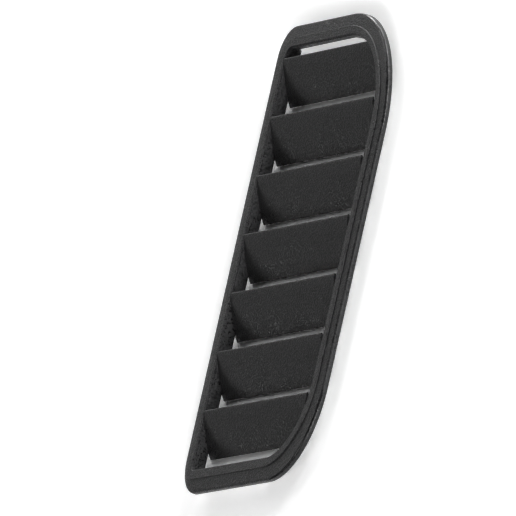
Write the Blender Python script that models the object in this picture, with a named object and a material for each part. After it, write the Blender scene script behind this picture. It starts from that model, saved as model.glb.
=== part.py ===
"""Car bonnet vent: one moulding with a surround flange, duct cheeks and seven louvre blades.

Units are metres. +Z is the outward side of the bonnet, +Y runs from the front of the vent to its
rear, and +X runs from the inboard side to the outboard side. The origin is under the middle of the
vent, on the plane that the low edges of the blades share.
"""
import math

import bmesh
import bpy

# Plan of the moulding
LENGTH = 0.408
WIDTH = 0.254
FLANGE_WIDTH = 0.0196
BAND_WIDTH = 0.0079

# Corner radii, in the order rear outboard, rear inboard, front inboard, front outboard
RIM_RADII = (0.1125, 0.0265, 0.0310, 0.0760)
BAND_RADII = (0.1005, 0.0200, 0.0130, 0.0750)
LIP_RADII = (0.0870, 0.0120, 0.0050, 0.0660)

# Heights above the foot of the rim, which sits on the bonnet skin
BAND_HEIGHT = 0.0069
BAND_STEP = 0.0011
SHOULDER_HEIGHT = 0.0048

# Section of the flange and the duct
WALL = 0.0026
RIM_EDGE_RADIUS = 0.0022
BAND_EDGE_RADIUS = 0.0004
LIP_EDGE_RADIUS = 0.0005
LIP_DROP = 0.0015
LEDGE_WIDTH = 0.0010
CHEEK_DEPTH = 0.0054
CHEEK_RUNOUT = 0.0065

# Louvre blades
BLADE_COUNT = 7
BLADE_RUN = 0.0376
BLADE_THICKNESS = 0.0024
BLADE_TOP_ANGLE = math.radians(13.0)
BLADE_LOW_ANGLE = math.radians(32.0)
LOW_TRIM = 0.00035
REAR_GAP = 0.0092
FRONT_GAP = 0.0152
RELIEF_GAP = 0.0046
RELIEF_RUN = 0.0125

# Smoothness of round shapes
CORNER_SEGMENTS = (28, 11, 9, 22)
EDGE_SEGMENTS = 4
BLADE_SEGMENTS = 9
NOSE_SEGMENTS = 6
SMOOTH_ANGLE = math.radians(35.0)

# Finish
PLASTIC_COLOUR = (0.040, 0.040, 0.042, 1.0)
PLASTIC_ROUGHNESS = 0.46

# Worked out from the driving dimensions
OPENING_LENGTH = LENGTH - 2 * FLANGE_WIDTH
BLADE_CHORD_ANGLE = (BLADE_TOP_ANGLE + BLADE_LOW_ANGLE) / 2
BLADE_DROP = BLADE_RUN * math.tan(BLADE_CHORD_ANGLE)
BLADE_PITCH = (OPENING_LENGTH - REAR_GAP - FRONT_GAP - BLADE_RUN) / (BLADE_COUNT - 1)
BLADE_LOW_REACH = BLADE_THICKNESS / 2 * (1 + math.cos(BLADE_LOW_ANGLE))
BAND_TOP = BLADE_DROP + BLADE_LOW_REACH - LOW_TRIM
FOOT_LEVEL = BAND_TOP - BAND_HEIGHT
RELIEF_CLEARANCE = 2 * BLADE_THICKNESS
TRIM_MARGIN = 0.005


def clear_scene():
    for item in list(bpy.data.objects):
        bpy.data.objects.remove(item, do_unlink=True)


def plastic():
    material = bpy.data.materials.new("moulded_plastic")
    material.use_nodes = True
    shader = material.node_tree.nodes["Principled BSDF"]
    shader.inputs["Base Color"].default_value = PLASTIC_COLOUR
    shader.inputs["Roughness"].default_value = PLASTIC_ROUGHNESS
    shader.inputs["Metallic"].default_value = 0.0
    return material


def outline(inset, radii):
    """Rounded plan outline, counter-clockwise, as (x, y, on_side).

    The straight edges lie inset inside the rim. on_side is 1 along the two long sides and round
    most of each corner, and runs out to 0 over the last stretch of the corner before an end.
    """
    half_x = WIDTH / 2 - inset
    half_y = LENGTH / 2 - inset
    corners = ((1, 1), (-1, 1), (-1, -1), (1, -1))
    points = []
    for (side_x, side_y), radius, segments in zip(corners, radii, CORNER_SEGMENTS):
        centre_x = side_x * (half_x - radius)
        centre_y = side_y * (half_y - radius)
        from_side = side_x * side_y > 0
        for step in range(segments + 1):
            share = step / segments if from_side else 1 - step / segments
            angle = share * math.pi / 2
            left_over = (1 - share) * radius * math.pi / 2
            x = centre_x + side_x * radius * math.cos(angle)
            y = centre_y + side_y * radius * math.sin(angle)
            points.append((x, y, min(1.0, left_over / CHEEK_RUNOUT)))
    return points


def grown(radii, growth):
    """The radii of an outline that lies growth outside one with the given radii."""
    return tuple(max(radius + growth, BAND_EDGE_RADIUS) for radius in radii)


def level_ring(inset, radii, height):
    return [(x, y, height) for x, y, _ in outline(inset, radii)]


def cheek_ring(inset, radii):
    """The lower edge of the duct wall: deep along the cheeks, level with the foot at the ends."""
    return [(x, y, FOOT_LEVEL - CHEEK_DEPTH * on_side) for x, y, on_side in outline(inset, radii)]


def flange_rings():
    """Rings that follow the section of the flange from the duct, over the top, and back below."""
    band_inset = FLANGE_WIDTH - BAND_WIDTH
    duct_inset = FLANGE_WIDTH + LEDGE_WIDTH
    duct_radii = grown(LIP_RADII, -LEDGE_WIDTH)
    ledge = BAND_TOP - LIP_DROP
    rings = [cheek_ring(duct_inset, duct_radii)]
    rings.append(level_ring(duct_inset, duct_radii, ledge))
    rings.append(level_ring(FLANGE_WIDTH, LIP_RADII, ledge))

    for step in range(EDGE_SEGMENTS + 1):
        angle = step / EDGE_SEGMENTS * math.pi / 2
        back = LIP_EDGE_RADIUS * (1 - math.cos(angle))
        height = BAND_TOP - LIP_EDGE_RADIUS * (1 - math.sin(angle))
        rings.append(level_ring(FLANGE_WIDTH - back, grown(LIP_RADII, back), height))

    for step in range(EDGE_SEGMENTS + 1):
        angle = step / EDGE_SEGMENTS * math.pi / 2
        back = BAND_EDGE_RADIUS * (1 - math.sin(angle))
        height = BAND_TOP - BAND_EDGE_RADIUS * (1 - math.cos(angle))
        rings.append(level_ring(band_inset + back, grown(BAND_RADII, -back), height))
    rings.append(level_ring(band_inset, BAND_RADII, BAND_TOP - BAND_STEP))

    for step in range(EDGE_SEGMENTS + 1):
        angle = step / EDGE_SEGMENTS * math.pi / 2
        back = RIM_EDGE_RADIUS * (1 - math.sin(angle))
        height = FOOT_LEVEL + SHOULDER_HEIGHT - RIM_EDGE_RADIUS * (1 - math.cos(angle))
        rings.append(level_ring(back, grown(RIM_RADII, -back), height))
    rings.append(level_ring(0.0, RIM_RADII, FOOT_LEVEL))

    rim_inner_radii = grown(RIM_RADII, -WALL)
    rings.append(level_ring(WALL, rim_inner_radii, FOOT_LEVEL))
    rings.append(level_ring(WALL, rim_inner_radii, FOOT_LEVEL + SHOULDER_HEIGHT - WALL))
    cheek_back = duct_inset - WALL
    cheek_back_radii = grown(duct_radii, WALL)
    rings.append(level_ring(cheek_back, cheek_back_radii, BAND_TOP - BAND_STEP - WALL))
    rings.append(cheek_ring(cheek_back, cheek_back_radii))
    return rings


def mesh_object(name, mesh):
    item = bpy.data.objects.new(name, mesh)
    bpy.context.scene.collection.objects.link(item)
    return item


def finish_mesh(name, shape):
    """Turns a bmesh into a mesh with its faces out and its round faces smooth."""
    bmesh.ops.recalc_face_normals(shape, faces=shape.faces[:])
    mesh = bpy.data.meshes.new(name)
    shape.to_mesh(mesh)
    shape.free()
    mesh.shade_smooth()
    mesh.set_sharp_from_angle(angle=SMOOTH_ANGLE)
    return mesh


def loft(name, rings, closed):
    """Skins a run of rings with as many points each. An open run gets flat caps."""
    shape = bmesh.new()
    loops = [[shape.verts.new(point) for point in ring] for ring in rings]
    pairs = list(zip(loops, loops[1:]))
    if closed:
        pairs.append((loops[-1], loops[0]))
    for lower, upper in pairs:
        count = len(lower)
        for index in range(count):
            following = (index + 1) % count
            shape.faces.new((lower[index], lower[following], upper[following], upper[index]))
    if not closed:
        shape.faces.new(loops[0])
        shape.faces.new(loops[-1])
    return finish_mesh(name, shape)


def duct_prism(name, growth):
    """A prism with the plan of the duct, grown outwards. Its foot trims the blades' low edges flat."""
    inset = FLANGE_WIDTH + LEDGE_WIDTH - growth
    radii = grown(LIP_RADII, growth - LEDGE_WIDTH)
    rings = [level_ring(inset, radii, 0.0), level_ring(inset, radii, BAND_TOP + TRIM_MARGIN)]
    return loft(name, rings, closed=False)


def blade_rear(index):
    """Y of the crest of a blade, counted from the rear."""
    return OPENING_LENGTH / 2 - REAR_GAP - index * BLADE_PITCH


def blade_section(rear):
    """Section of one blade as (y, z): a bowed strip with a round crest and a square low edge."""
    turn = BLADE_LOW_ANGLE - BLADE_TOP_ANGLE
    chord = BLADE_RUN / math.cos(BLADE_CHORD_ANGLE)
    bow_radius = chord / (2 * math.sin(turn / 2))
    half = BLADE_THICKNESS / 2
    crest = BAND_TOP - half
    upper = []
    lower = []
    for step in range(BLADE_SEGMENTS + 1):
        angle = BLADE_TOP_ANGLE + turn * step / BLADE_SEGMENTS
        run = bow_radius * (math.sin(angle) - math.sin(BLADE_TOP_ANGLE))
        fall = bow_radius * (math.cos(BLADE_TOP_ANGLE) - math.cos(angle))
        y = rear - half - run
        z = crest - fall
        upper.append((y - half * math.sin(angle), z + half * math.cos(angle)))
        lower.append((y + half * math.sin(angle), z - half * math.cos(angle)))
    nose = []
    for step in range(1, NOSE_SEGMENTS):
        angle = math.pi * step / NOSE_SEGMENTS - BLADE_TOP_ANGLE - math.pi / 2
        nose.append((rear - half + half * math.cos(angle), crest + half * math.sin(angle)))
    return upper + lower[::-1] + nose


def blade_pack():
    """All blades as plain extrusions, wider than the duct, in one mesh."""
    shape = bmesh.new()
    for index in range(BLADE_COUNT):
        section = blade_section(blade_rear(index))
        ends = []
        for x in (-WIDTH / 2, WIDTH / 2):
            ends.append([shape.verts.new((x, y, z)) for y, z in section])
        count = len(section)
        for point in range(count):
            following = (point + 1) % count
            shape.faces.new((ends[0][point], ends[0][following], ends[1][following], ends[1][point]))
        shape.faces.new(ends[0])
        shape.faces.new(ends[1])
    return finish_mesh("blade_pack", shape)


def relief_slabs():
    """Boxes over the crest of each blade, on the outboard half."""
    shape = bmesh.new()
    low = BAND_TOP - BLADE_DROP
    high = BAND_TOP + TRIM_MARGIN
    for index in range(BLADE_COUNT):
        rear = blade_rear(index)
        box = bmesh.ops.create_cube(shape, size=1.0)["verts"]
        length = RELIEF_RUN + RELIEF_CLEARANCE
        bmesh.ops.scale(shape, vec=(WIDTH / 2, length, high - low), verts=box)
        centre = (WIDTH / 4, rear + RELIEF_CLEARANCE - length / 2, (high + low) / 2)
        bmesh.ops.translate(shape, vec=centre, verts=box)
    return finish_mesh("relief_slabs", shape)


def guide(name, mesh):
    """A shape that only trims or builds another one."""
    item = mesh_object(name, mesh)
    item.hide_render = True
    item.display_type = "WIRE"
    return item


def boolean(item, operation, other):
    modifier = item.modifiers.new(operation.lower() + "_" + other.name, "BOOLEAN")
    modifier.operation = operation
    modifier.object = other
    modifier.solver = "EXACT"


def build():
    clear_scene()
    blades = guide("blades", blade_pack())
    trim = guide("blade_trim", duct_prism("blade_trim", WALL / 2))
    relief = guide("blade_relief", relief_slabs())
    relief_core = guide("relief_core", duct_prism("relief_core", -RELIEF_GAP))
    boolean(relief, "DIFFERENCE", relief_core)
    boolean(blades, "INTERSECT", trim)
    boolean(blades, "DIFFERENCE", relief)

    vent = mesh_object("vent_moulding", loft("vent_moulding", flange_rings(), closed=True))
    vent.data.materials.append(plastic())
    boolean(vent, "UNION", blades)


build()
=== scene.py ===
"""Looks of the car bonnet vent: one black moulding with a fine grain, on a pale floor.

Lengths are in metres. The rear of the vent is at +Y, its outboard side at +X, and Z is up.
"""

import math

import bmesh
import bpy
from mathutils import Matrix, Vector


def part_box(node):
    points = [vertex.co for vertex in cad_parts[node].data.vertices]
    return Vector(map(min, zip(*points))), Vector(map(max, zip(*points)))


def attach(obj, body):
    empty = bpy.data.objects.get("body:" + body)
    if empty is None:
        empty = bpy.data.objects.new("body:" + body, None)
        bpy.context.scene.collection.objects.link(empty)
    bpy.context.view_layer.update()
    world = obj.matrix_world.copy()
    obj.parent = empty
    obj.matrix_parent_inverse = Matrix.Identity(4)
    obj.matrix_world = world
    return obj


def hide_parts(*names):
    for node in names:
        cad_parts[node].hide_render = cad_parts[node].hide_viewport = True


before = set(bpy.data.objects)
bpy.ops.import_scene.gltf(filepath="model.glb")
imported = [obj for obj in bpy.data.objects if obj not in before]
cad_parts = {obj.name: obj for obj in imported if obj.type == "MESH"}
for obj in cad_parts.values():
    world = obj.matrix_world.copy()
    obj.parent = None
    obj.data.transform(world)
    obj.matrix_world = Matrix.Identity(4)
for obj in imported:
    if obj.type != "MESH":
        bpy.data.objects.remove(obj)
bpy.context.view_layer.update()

# Size and place of the moulding, from the frame
NODE = "vent_moulding"
NODE_LOW, NODE_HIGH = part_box(NODE)
WIDTH = NODE_HIGH.x - NODE_LOW.x
LENGTH = NODE_HIGH.y - NODE_LOW.y
BAND_TOP = NODE_HIGH.z

# Plan of the flange, radii as rear outboard, rear inboard, front inboard, front outboard
FLANGE_WIDTH = 0.0196
BAND_WIDTH = 0.0079
RIM_RADII = (0.1125, 0.0265, 0.0310, 0.0760)
BAND_RADII = (0.1005, 0.0200, 0.0130, 0.0750)
LIP_RADII = (0.0870, 0.0120, 0.0050, 0.0660)
LEAST_PLAN_RADIUS = 0.0004

# Section of the flange and the duct
BAND_HEIGHT = 0.0069
BAND_STEP = 0.0011
SHOULDER_HEIGHT = 0.0048
WALL = 0.0026
LIP_DROP = 0.0015
LEDGE_WIDTH = 0.0010
CHEEK_DEPTH = 0.0054
CHEEK_RUNOUT = 0.0065
FOOT_LEVEL = BAND_TOP - BAND_HEIGHT
SHOULDER_LEVEL = FOOT_LEVEL + SHOULDER_HEIGHT
RIM_EDGE_RADIUS = 0.0022
BAND_EDGE_RADIUS = 0.0004
LIP_EDGE_RADIUS = 0.0005
LEDGE_EDGE_RADIUS = 0.0002
STEP_FOOT_RADIUS = 0.00025
FOOT_EDGE_RADIUS = 0.0004
CHANNEL_RADIUS = 0.0006
CHEEK_EDGE_RADIUS = 0.0005

# Louvre blades
BLADE_COUNT = 7
BLADE_RUN = 0.0376
BLADE_THICKNESS = 0.0024
BLADE_TOP_ANGLE = math.radians(13.0)
BLADE_LOW_ANGLE = math.radians(32.0)
BLADE_CHORD_ANGLE = (BLADE_TOP_ANGLE + BLADE_LOW_ANGLE) / 2
BLADE_EDGE_RADIUS = 0.0005
REAR_GAP = 0.0092
FRONT_GAP = 0.0152
OPENING_LENGTH = LENGTH - 2 * FLANGE_WIDTH
BLADE_PITCH = (OPENING_LENGTH - REAR_GAP - FRONT_GAP - BLADE_RUN) / (BLADE_COUNT - 1)
RELIEF_GAP = 0.0046
RELIEF_RUN = 0.0125
RELIEF_CLEARANCE = 2 * BLADE_THICKNESS
TRIM_MARGIN = 0.005
END_CUT = 0.0085
END_CUT_SLOPE = 0.40

# Smoothness
CORNER_SEGMENTS = (72, 28, 28, 56)
SIDE_SEGMENTS = 24
FILLET_SEGMENTS = 6
RIM_EDGE_SEGMENTS = 12
BLADE_SEGMENTS = 28
NOSE_SEGMENTS = 12
SMOOTH_ANGLE = math.radians(32.0)

# Textures of the plastic, each span being the part of the texture that is used
WHOLE = (0.0, 1.0)
STIPPLE_SCALE = 680.0
STIPPLE_DETAIL = 1.0
STIPPLE_ROUGHNESS = 0.5
STIPPLE_SPAN = (0.37, 0.60)
PEBBLE_SCALE = 1100.0
PEBBLE_SMOOTHNESS = 0.5
PEBBLE_SPAN = (0.1, 0.8)
PEBBLE_SHARE = 0.15
CLOUD_SCALE = 28.0
CLOUD_DETAIL = 4.0
CLOUD_ROUGHNESS = 0.6
CLOUD_SPAN = (0.35, 0.65)

# Masks of what is rubbed, the edge mask also painting a highlight, each span running from
# where a mask is least to where it is 1
WEAR_AND_HIGHLIGHT_RADIUS = 0.0008
WEAR_AND_HIGHLIGHT_SAMPLES = 6
WEAR_AND_HIGHLIGHT_LEAN_COSINES = (0.995, 0.90)
WEAR_AND_HIGHLIGHT_CLOUD_SPAN = (0.3, 0.7)
WEAR_AND_HIGHLIGHT_LEAST = 0.5
RIM_SIDEWAYS_SPAN = (0.03, 0.07)
RIM_LENGTHWAYS_SPAN = (0.02, 0.06)
RIM_UPWARD_SPAN = (0.20, 0.45)
RIM_NOT_FLAT_SPAN = (0.9955, 0.990)
RIM_FADE = 0.0003
RIM_RUB = 0.9

# Finish of the plastic, each span running from the pits of the stipple to its tops
GRAIN_STRENGTH = 0.8
GRAIN_HEIGHT = 0.00016
GRAIN_RUBBED = 0.85
GREY_SPAN = (0.003, 0.0122)
GREY_CLOUD = 0.001
# Painted highlight: the edges are painted this much lighter in the colour
GREY_PAINTED_HIGHLIGHT = 0.003
BLUE_TINT = 1.04
ROUGH_SPAN = (0.26, 0.50)
ROUGH_CLOUD = 0.03
ROUGH_WORN = 0.32
ROUGH_LEAST = 0.09
SPECULAR_LEVEL = 0.235

# Camera: a long lens, so that the view is all but parallel, as the photograph's is
VIEW_AZIMUTH = math.radians(78.70)
VIEW_ELEVATION = math.radians(22.10)
VIEW_ROLL = math.radians(-72.97)
VIEW_AIM = Vector((-0.01432, -0.01292, 0.03875))
VIEW_WIDTH = 0.42922
LENS_MM = 1600.0
SENSOR_MM = 36.0
CLIP_START = 0.1
CLIP_END = 100.0

# Soft panels, most of them low to keep the slots dark, as azimuth, elevation, strength
PANEL_ANGLE = math.radians(16.0)
PANELS = (
    (22, 7, 1.75),
    (45, 7, 0.82),
    (68, 7, 1.70),
    (90, 7, 1.70),
    (112, 7, 0.58),
    (-45, 7, 0.48),
    (-23, 7, 1.70),
    (43, 14, 1.30),
    (137, 14, 0.80),
    (167, 19, 0.07),
    (-167, 19, 0.07),
    (-39, 19, 1.70),
    (90, 33, 0.11),
    (120, 33, 0.10),
    (150, 33, 0.04),
    (180, 33, 0.07),
    (-120, 33, 0.08),
    (-60, 33, 0.30),
    (-100, 48, 0.39),
)

# Small weak lamps that the edges round the rear outboard corner catch, in the same form
GLINT_ANGLE = math.radians(3.0)
GLINTS = (
    (146, 24, 0.045),
    (160, 29, 0.040),
    (153, 35, 0.050),
    (140, 40, 0.045),
    (127, 43, 0.035),
    (99, 43, 0.030),
    (70, 28, 0.030),
)

# Sky and horizon, the span being the height of a direction from all horizon to all sky
SKY_LEVEL = 0.005
HORIZON_LEVEL = 1.0
HORIZON_SPAN = (0.005, 0.03)

# Floor
FLOOR_DROP = 0.0002
FLOOR_SIZE = 60.0
FLOOR_SEEN = 1.35
FLOOR_BOUNCE = 0.35


def made(name, data):
    """A new object in the scene, with the mesh, camera or light given."""
    item = bpy.data.objects.new(name, data)
    bpy.context.scene.collection.objects.link(item)
    return item


def socket(node, name, value):
    node.inputs[name].default_value = value


def grown(radii, growth):
    """The radii of an outline that lies growth outside one with the given radii."""
    return tuple(max(radius + growth, LEAST_PLAN_RADIUS) for radius in radii)


def outline(inset, radii):
    """Rounded plan outline, counter-clockwise, as (x, y, on_side).

    The straight edges lie inset inside the rim. on_side is 1 along the two long sides and
    round most of each corner, and runs out to 0 over the last stretch before an end.
    """
    half_x = WIDTH / 2 - inset
    half_y = LENGTH / 2 - inset
    corners = ((1, 1), (-1, 1), (-1, -1), (1, -1))
    points = []
    for (side_x, side_y), radius, segments in zip(corners, radii, CORNER_SEGMENTS):
        centre_x = side_x * (half_x - radius)
        centre_y = side_y * (half_y - radius)
        from_side = side_x * side_y > 0
        for step in range(segments + 1):
            share = step / segments if from_side else 1 - step / segments
            angle = share * math.pi / 2
            left_over = (1 - share) * radius * math.pi / 2
            x = centre_x + side_x * radius * math.cos(angle)
            y = centre_y + side_y * radius * math.sin(angle)
            points.append((x, y, min(1.0, left_over / CHEEK_RUNOUT)))
    return with_straights(points)


def with_straights(points):
    """Divides the four straight stretches, so that the faces along them stay short."""
    full = []
    start = 0
    for segments in CORNER_SEGMENTS:
        full.extend(points[start:start + segments + 1])
        start += segments + 1
        last = Vector(points[start - 1])
        following = Vector(points[start % len(points)])
        for step in range(1, SIDE_SEGMENTS):
            full.append(tuple(last.lerp(following, step / SIDE_SEGMENTS)))
    return full


def fillet(before, corner, after, radius, segments):
    """Arc that rounds a corner of the section, as (inset, height) from the corner."""
    back = (Vector(before) - Vector(corner)).normalized()
    ahead = (Vector(after) - Vector(corner)).normalized()
    half = back.angle(ahead) / 2
    reach = radius / math.tan(half)
    centre = (back + ahead).normalized() * (radius / math.sin(half))
    first = back * reach - centre
    last = ahead * reach - centre
    sweep = first.angle(last)
    points = []
    for step in range(segments + 1):
        share = step / segments
        weight_first = math.sin((1 - share) * sweep) / math.sin(sweep)
        weight_last = math.sin(share * sweep) / math.sin(sweep)
        points.append(centre + first * weight_first + last * weight_last)
    return points


def section_corners():
    """Corners of the closed flange section.

    Each is its inset, height, plan radii, fillet radius, fillet segments, and if hung.
    Hung corners follow the low edge of the duct wall, which is deep along the cheeks only.
    """
    band_inset = FLANGE_WIDTH - BAND_WIDTH
    band_foot = BAND_TOP - BAND_STEP
    duct = FLANGE_WIDTH + LEDGE_WIDTH
    duct_radii = grown(LIP_RADII, -LEDGE_WIDTH)
    back = duct - WALL
    back_radii = grown(duct_radii, WALL)
    low = FOOT_LEVEL - CHEEK_DEPTH
    ledge = BAND_TOP - LIP_DROP
    rim_in = grown(RIM_RADII, -WALL)
    few = FILLET_SEGMENTS
    return [
        (duct, low, duct_radii, CHEEK_EDGE_RADIUS, few, True),
        (duct, ledge, duct_radii, LEDGE_EDGE_RADIUS, few, False),
        (FLANGE_WIDTH, ledge, LIP_RADII, LEDGE_EDGE_RADIUS, few, False),
        (FLANGE_WIDTH, BAND_TOP, LIP_RADII, LIP_EDGE_RADIUS, few, False),
        (band_inset, BAND_TOP, BAND_RADII, BAND_EDGE_RADIUS, few, False),
        (band_inset, band_foot, BAND_RADII, STEP_FOOT_RADIUS, few, False),
        (0.0, SHOULDER_LEVEL, RIM_RADII, RIM_EDGE_RADIUS, RIM_EDGE_SEGMENTS, False),
        (0.0, FOOT_LEVEL, RIM_RADII, FOOT_EDGE_RADIUS, few, False),
        (WALL, FOOT_LEVEL, rim_in, FOOT_EDGE_RADIUS, few, False),
        (WALL, SHOULDER_LEVEL - WALL, rim_in, CHANNEL_RADIUS, few, False),
        (back, band_foot - WALL, back_radii, CHANNEL_RADIUS, few, False),
        (back, low, back_radii, CHEEK_EDGE_RADIUS, few, True),
    ]


def flange_rings():
    """Rings round the flange, one for each point of its rounded section."""
    corners = section_corners()
    rings = []
    for index, (inset, height, radii, radius, segments, hung) in enumerate(corners):
        before = corners[index - 1][:2]
        after = corners[(index + 1) % len(corners)][:2]
        for offset in fillet(before, (inset, height), after, radius, segments):
            ring = []
            for x, y, on_side in outline(inset + offset.x, grown(radii, -offset.x)):
                lift = CHEEK_DEPTH * (1 - on_side) if hung else 0.0
                ring.append((x, y, height + offset.y + lift))
            rings.append(ring)
    return rings


def finish_mesh(name, shape):
    """Turns a bmesh into a mesh whose faces look outwards."""
    bmesh.ops.recalc_face_normals(shape, faces=shape.faces[:])
    mesh = bpy.data.meshes.new(name)
    shape.to_mesh(mesh)
    shape.free()
    return mesh


def skin(shape, rings, closed):
    """Skins a run of rings with as many points each. An open run gets flat caps."""
    loops = [[shape.verts.new(point) for point in ring] for ring in rings]
    pairs = list(zip(loops, loops[1:]))
    if closed:
        pairs.append((loops[-1], loops[0]))
    for lower, upper in pairs:
        count = len(lower)
        for index in range(count):
            following = (index + 1) % count
            shape.faces.new(
                (lower[index], lower[following], upper[following], upper[index])
            )
    if not closed:
        shape.faces.new(loops[0])
        shape.faces.new(loops[-1])


def loft(name, rings, closed):
    shape = bmesh.new()
    skin(shape, rings, closed)
    return finish_mesh(name, shape)


def duct_prism(name, growth, end_cut=0.0):
    """A prism with the duct's plan, grown outwards, up from the node's lowest level.

    An end_cut draws the foot in by as much on the outboard side, so that the low corners of
    the blades there stay out of sight behind the rim, as they do in the photograph.
    """
    inset = FLANGE_WIDTH + LEDGE_WIDTH - growth
    radii = grown(LIP_RADII, growth - LEDGE_WIDTH)
    plan = [(x, y) for x, y, _ in outline(inset, radii)]
    foot = NODE_LOW.z
    rings = []
    if end_cut:
        reach = WIDTH / 2 - inset
        rings.append([(x - end_cut * max(0.0, x) / reach, y, foot) for x, y in plan])
        rings.append([(x, y, foot + end_cut * END_CUT_SLOPE) for x, y in plan])
    else:
        rings.append([(x, y, foot) for x, y in plan])
    rings.append([(x, y, BAND_TOP + TRIM_MARGIN) for x, y in plan])
    return loft(name, rings, closed=False)


def blade_rear(index):
    """Y of the crest of a blade, counted from the rear."""
    return OPENING_LENGTH / 2 - REAR_GAP - index * BLADE_PITCH


def rounded(corner, first, second):
    """Arc round an outward corner of the blade, between the two faces' outward normals."""
    centre = corner - (first + second) * BLADE_EDGE_RADIUS
    points = []
    for step in range(FILLET_SEGMENTS + 1):
        angle = step / FILLET_SEGMENTS * math.pi / 2
        turned = first * math.cos(angle) + second * math.sin(angle)
        points.append(centre + turned * BLADE_EDGE_RADIUS)
    return points


def blade_section(rear):
    """A blade's section as (y, z): a bowed strip, its crest round, its low edge square."""
    turn = BLADE_LOW_ANGLE - BLADE_TOP_ANGLE
    chord = BLADE_RUN / math.cos(BLADE_CHORD_ANGLE)
    bow_radius = chord / (2 * math.sin(turn / 2))
    half = BLADE_THICKNESS / 2
    crest = BAND_TOP - half
    upper = []
    lower = []
    for step in range(BLADE_SEGMENTS + 1):
        angle = BLADE_TOP_ANGLE + turn * step / BLADE_SEGMENTS
        run = bow_radius * (math.sin(angle) - math.sin(BLADE_TOP_ANGLE))
        fall = bow_radius * (math.cos(BLADE_TOP_ANGLE) - math.cos(angle))
        middle = Vector((rear - half - run, crest - fall))
        out = Vector((-math.sin(angle), math.cos(angle))) * half
        upper.append(middle + out)
        lower.append(middle - out)
    above = Vector((-math.sin(BLADE_LOW_ANGLE), math.cos(BLADE_LOW_ANGLE)))
    ahead = Vector((-math.cos(BLADE_LOW_ANGLE), -math.sin(BLADE_LOW_ANGLE)))
    low_edge = rounded(upper.pop(), above, ahead) + rounded(lower.pop(), ahead, -above)
    nose = []
    for step in range(1, NOSE_SEGMENTS):
        angle = math.pi * step / NOSE_SEGMENTS - BLADE_TOP_ANGLE - math.pi / 2
        y = rear - half + half * math.cos(angle)
        nose.append(Vector((y, crest + half * math.sin(angle))))
    return upper + low_edge + lower[::-1] + nose


def blade_pack():
    """All blades as plain extrusions, wider than the duct, in one mesh."""
    shape = bmesh.new()
    for index in range(BLADE_COUNT):
        section = blade_section(blade_rear(index))
        ends = [[(x, y, z) for y, z in section] for x in (-WIDTH / 2, WIDTH / 2)]
        skin(shape, ends, closed=False)
    return finish_mesh("blade_pack", shape)


def relief_slabs():
    """Boxes over the crest of each blade but the rearmost, on the outboard half."""
    shape = bmesh.new()
    low = NODE_LOW.z + BLADE_THICKNESS
    high = BAND_TOP + TRIM_MARGIN
    length = RELIEF_RUN + RELIEF_CLEARANCE
    for index in range(1, BLADE_COUNT):
        rear = blade_rear(index)
        box = bmesh.ops.create_cube(shape, size=1.0)["verts"]
        bmesh.ops.scale(shape, vec=(WIDTH / 2, length, high - low), verts=box)
        centre = (WIDTH / 4, rear + RELIEF_CLEARANCE - length / 2, (high + low) / 2)
        bmesh.ops.translate(shape, vec=centre, verts=box)
    return finish_mesh("relief_slabs", shape)


def boolean(item, operation, other):
    modifier = item.modifiers.new(operation.lower(), "BOOLEAN")
    modifier.operation = operation
    modifier.object = other
    modifier.solver = "EXACT"


def settled(item, guides):
    """Keeps the modified mesh as the item's own, and removes the shapes that helped."""
    bpy.context.view_layer.update()
    graph = bpy.context.evaluated_depsgraph_get()
    mesh = bpy.data.meshes.new_from_object(item.evaluated_get(graph))
    item.modifiers.clear()
    item.data = mesh
    for guide in guides:
        bpy.data.objects.remove(guide, do_unlink=True)


def make_vent(material):
    """The whole moulding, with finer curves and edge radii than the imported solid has."""
    blades = made("blades", blade_pack())
    trim = made("blade_trim", duct_prism("blade_trim", WALL / 2, END_CUT))
    relief = made("blade_relief", relief_slabs())
    core = made("relief_core", duct_prism("relief_core", -RELIEF_GAP))
    vent = made("vent", loft("vent", flange_rings(), closed=True))
    boolean(relief, "DIFFERENCE", core)
    boolean(blades, "INTERSECT", trim)
    boolean(blades, "DIFFERENCE", relief)
    boolean(vent, "UNION", blades)
    settled(vent, (blades, trim, relief, core))
    vent.data.shade_smooth()
    vent.data.set_sharp_from_angle(angle=SMOOTH_ANGLE)
    even = vent.modifiers.new("even_normals", "WEIGHTED_NORMAL")
    even.keep_sharp = True
    vent.data.materials.append(material)
    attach(vent, "root")
    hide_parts(NODE)


def add(tree, kind, **values):
    """Adds a shader node and sets the inputs named, with spaces given as underscores."""
    node = tree.nodes.new(kind)
    for name, value in values.items():
        socket(node, name.replace("_", " "), value)
    return node


def ranged(tree, source, span, target=WHOLE):
    """A value moved from one span to another, and held inside it."""
    node = add(
        tree,
        "ShaderNodeMapRange",
        From_Min=span[0],
        From_Max=span[1],
        To_Min=target[0],
        To_Max=target[1],
    )
    tree.links.new(source, node.inputs["Value"])
    return node.outputs["Result"]


def combined(tree, operation, first, second):
    """Two values, each an output or a plain number, taken through one Math node."""
    node = add(tree, "ShaderNodeMath")
    node.operation = operation
    for index, source in enumerate((first, second)):
        if isinstance(source, float):
            node.inputs[index].default_value = source
        else:
            tree.links.new(source, node.inputs[index])
    return node.outputs["Value"]


def edge_mask(tree):
    """1 on the outward edges and 0 on open faces.

    It is told by how far a rounded normal leans from the true one. The edges it finds are
    rubbed smoother, and are also painted lighter as a painted highlight.
    """
    wear_and_highlight_edges = add(tree, "ShaderNodeBevel", Radius=WEAR_AND_HIGHLIGHT_RADIUS)
    wear_and_highlight_edges.samples = WEAR_AND_HIGHLIGHT_SAMPLES
    shape = add(tree, "ShaderNodeNewGeometry")
    lean = add(tree, "ShaderNodeVectorMath")
    lean.operation = "DOT_PRODUCT"
    tree.links.new(wear_and_highlight_edges.outputs["Normal"], lean.inputs[0])
    tree.links.new(shape.outputs["Normal"], lean.inputs[1])
    return ranged(tree, lean.outputs["Value"], WEAR_AND_HIGHLIGHT_LEAN_COSINES)


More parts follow.
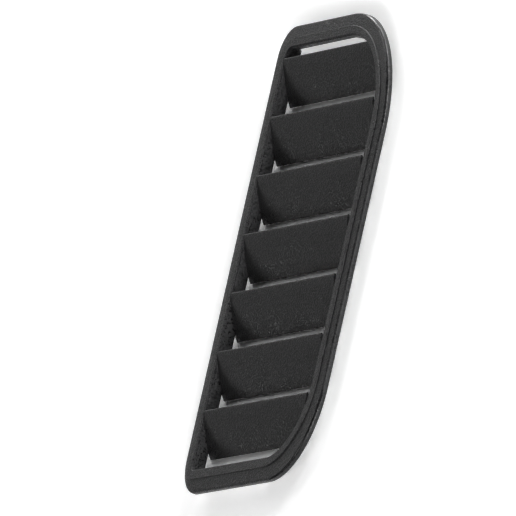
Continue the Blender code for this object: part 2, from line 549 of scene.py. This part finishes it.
def rubbed_rim(tree, place):
    """1 on the rounding of the rim's corners, told by height and by how the faces turn."""
    shape = add(tree, "ShaderNodeNewGeometry")
    facing = add(tree, "ShaderNodeSeparateXYZ")
    position = add(tree, "ShaderNodeSeparateXYZ")
    tree.links.new(shape.outputs["Normal"], facing.inputs[0])
    tree.links.new(place, position.inputs[0])
    low = SHOULDER_LEVEL - RIM_EDGE_RADIUS
    above_low = (low - RIM_FADE, low)
    below_high = (SHOULDER_LEVEL + 2 * RIM_FADE, SHOULDER_LEVEL + RIM_FADE)
    sideways = combined(tree, "ABSOLUTE", facing.outputs["X"], 0.0)
    lengthways = combined(tree, "ABSOLUTE", facing.outputs["Y"], 0.0)
    factors = (
        ranged(tree, sideways, RIM_SIDEWAYS_SPAN),
        ranged(tree, lengthways, RIM_LENGTHWAYS_SPAN),
        ranged(tree, facing.outputs["Z"], RIM_UPWARD_SPAN),
        ranged(tree, facing.outputs["Z"], RIM_NOT_FLAT_SPAN),
        ranged(tree, position.outputs["Z"], above_low),
        ranged(tree, position.outputs["Z"], below_high),
    )
    mask = factors[0]
    for factor in factors[1:]:
        mask = combined(tree, "MULTIPLY", mask, factor)
    return mask


def plastic():
    """Black plastic with a fine grain, faint cloudy patches, and edges rubbed smoother and
    painted lighter as a painted highlight.
    """
    material = bpy.data.materials.new("moulded_plastic")
    material.use_nodes = True
    tree = material.node_tree
    links = tree.links
    shader = tree.nodes["Principled BSDF"]
    place = add(tree, "ShaderNodeTexCoord").outputs["Object"]
    stipple = add(
        tree,
        "ShaderNodeTexNoise",
        Scale=STIPPLE_SCALE,
        Detail=STIPPLE_DETAIL,
        Roughness=STIPPLE_ROUGHNESS,
    )
    pebble = add(tree, "ShaderNodeTexVoronoi", Scale=PEBBLE_SCALE)
    pebble.feature = "SMOOTH_F1"
    socket(pebble, "Smoothness", PEBBLE_SMOOTHNESS)
    cloud = add(
        tree,
        "ShaderNodeTexNoise",
        Scale=CLOUD_SCALE,
        Detail=CLOUD_DETAIL,
        Roughness=CLOUD_ROUGHNESS,
    )
    for texture in (stipple, pebble, cloud):
        links.new(place, texture.inputs["Vector"])
    specks = ranged(tree, stipple.outputs[0], STIPPLE_SPAN)
    cells = ranged(tree, pebble.outputs["Distance"], PEBBLE_SPAN, (PEBBLE_SHARE, 0.0))
    clouds = ranged(tree, cloud.outputs[0], CLOUD_SPAN)
    wear_and_highlight_edges = edge_mask(tree)
    uneven = ranged(tree, cloud.outputs[0], WEAR_AND_HIGHLIGHT_CLOUD_SPAN, (WEAR_AND_HIGHLIGHT_LEAST, 1.0))
    edges = combined(tree, "MULTIPLY", wear_and_highlight_edges, uneven)
    rim = combined(tree, "MULTIPLY", rubbed_rim(tree, place), RIM_RUB)
    rubbed = combined(tree, "MAXIMUM", edges, rim)

    left = ranged(tree, rubbed, WHOLE, (1.0, 1.0 - GRAIN_RUBBED))
    height = combined(tree, "MULTIPLY", combined(tree, "ADD", specks, cells), left)
    bump = add(tree, "ShaderNodeBump", Strength=GRAIN_STRENGTH, Distance=GRAIN_HEIGHT)
    links.new(height, bump.inputs["Height"])
    links.new(bump.outputs["Normal"], shader.inputs["Normal"])

    grey = ranged(tree, specks, WHOLE, GREY_SPAN)
    cloud_grey = combined(tree, "MULTIPLY", clouds, GREY_CLOUD)
    grey = combined(tree, "ADD", grey, cloud_grey)
    # Painted highlight: the edges are painted lighter in the base colour
    painted_edge_highlight = combined(tree, "MULTIPLY", edges, GREY_PAINTED_HIGHLIGHT)
    grey = combined(tree, "ADD", grey, painted_edge_highlight)
    tint = add(tree, "ShaderNodeCombineColor")
    links.new(grey, tint.inputs["Red"])
    links.new(grey, tint.inputs["Green"])
    links.new(combined(tree, "MULTIPLY", grey, BLUE_TINT), tint.inputs["Blue"])
    links.new(tint.outputs["Color"], shader.inputs["Base Color"])

    rough = ranged(tree, specks, WHOLE, ROUGH_SPAN)
    cloud_rough = combined(tree, "MULTIPLY", clouds, ROUGH_CLOUD)
    rough = combined(tree, "ADD", rough, cloud_rough)
    worn_smooth = combined(tree, "MULTIPLY", rubbed, ROUGH_WORN)
    rough = combined(tree, "SUBTRACT", rough, worn_smooth)
    rough = combined(tree, "MAXIMUM", rough, ROUGH_LEAST)
    links.new(rough, shader.inputs["Roughness"])
    socket(shader, "Specular IOR Level", SPECULAR_LEVEL)
    return material


def direction_to_camera():
    """Unit vector from the vent to the camera. The azimuth counts from -Y towards +X."""
    level = math.cos(VIEW_ELEVATION)
    return Vector((
        math.sin(VIEW_AZIMUTH) * level,
        -math.cos(VIEW_AZIMUTH) * level,
        math.sin(VIEW_ELEVATION),
    ))


def make_camera():
    data = bpy.data.cameras.new("camera")
    data.lens = LENS_MM
    data.sensor_width = SENSOR_MM
    data.clip_start = CLIP_START
    data.clip_end = CLIP_END
    camera = made("camera", data)
    back = direction_to_camera()
    level = Vector((0.0, 0.0, 1.0)).cross(back).normalized()
    over = back.cross(level)
    right = level * math.cos(VIEW_ROLL) + over * math.sin(VIEW_ROLL)
    up = back.cross(right)
    distance = VIEW_WIDTH / 2 / (SENSOR_MM / 2 / LENS_MM)
    turn = Matrix((right, up, back)).transposed().to_4x4()
    camera.matrix_world = Matrix.Translation(VIEW_AIM + back * distance) @ turn
    bpy.context.scene.camera = camera


def make_lamp(name, place, spread):
    """One lamp. Its place is its azimuth from +X, its elevation and its strength."""
    azimuth, elevation, strength = place
    data = bpy.data.lights.new(name, "SUN")
    data.angle = spread
    data.energy = strength
    lamp = made(name, data)
    level = math.cos(math.radians(elevation))
    towards = Vector((
        math.cos(math.radians(azimuth)) * level,
        math.sin(math.radians(azimuth)) * level,
        math.sin(math.radians(elevation)),
    ))
    lamp.location = towards
    lamp.rotation_mode = "QUATERNION"
    lamp.rotation_quaternion = towards.to_track_quat("Z", "Y")


def make_lamps():
    for index, panel in enumerate(PANELS):
        make_lamp(f"panel_{index + 1}", panel, PANEL_ANGLE)
    for index, glint in enumerate(GLINTS):
        make_lamp(f"glint_{index + 1}", glint, GLINT_ANGLE)


def make_world():
    """An all but dark sky above a white horizon, which only a low camera sees."""
    world = bpy.data.worlds.new("studio")
    world.use_nodes = True
    tree = world.node_tree
    tree.nodes.clear()
    place = add(tree, "ShaderNodeTexCoord")
    split = add(tree, "ShaderNodeSeparateXYZ")
    tree.links.new(place.outputs["Generated"], split.inputs["Vector"])
    level = ranged(tree, split.outputs["Z"], HORIZON_SPAN, (HORIZON_LEVEL, SKY_LEVEL))
    level.node.interpolation_type = "SMOOTHSTEP"
    background = add(tree, "ShaderNodeBackground")
    output = add(tree, "ShaderNodeOutputWorld")
    tree.links.new(level, background.inputs["Strength"])
    tree.links.new(background.outputs["Background"], output.inputs["Surface"])
    bpy.context.scene.world = world


def floor_material():
    """Pale floor. The camera and reflections see it white, but it bounces less light."""
    material = bpy.data.materials.new("floor")
    material.use_nodes = True
    tree = material.node_tree
    tree.nodes.clear()
    path = add(tree, "ShaderNodeLightPath").outputs
    seen = combined(tree, "MAXIMUM", path["Is Camera Ray"], path["Is Glossy Ray"])
    seen = combined(tree, "MAXIMUM", seen, path["Is Transmission Ray"])
    level = ranged(tree, seen, WHOLE, (FLOOR_BOUNCE, FLOOR_SEEN))
    diffuse = add(tree, "ShaderNodeBsdfDiffuse")
    output = add(tree, "ShaderNodeOutputMaterial")
    tree.links.new(level, diffuse.inputs["Color"])
    tree.links.new(diffuse.outputs["BSDF"], output.inputs["Surface"])
    return material


def make_floor():
    mesh = bpy.data.meshes.new("floor")
    shape = bmesh.new()
    bmesh.ops.create_grid(shape, x_segments=1, y_segments=1, size=FLOOR_SIZE / 2)
    shape.to_mesh(mesh)
    shape.free()
    floor = made("floor", mesh)
    floor.location.z = NODE_LOW.z - FLOOR_DROP
    mesh.materials.append(floor_material())


bpy.context.scene.view_settings.view_transform = "Standard"
make_camera()
make_lamps()
make_world()
make_floor()
make_vent(plastic())
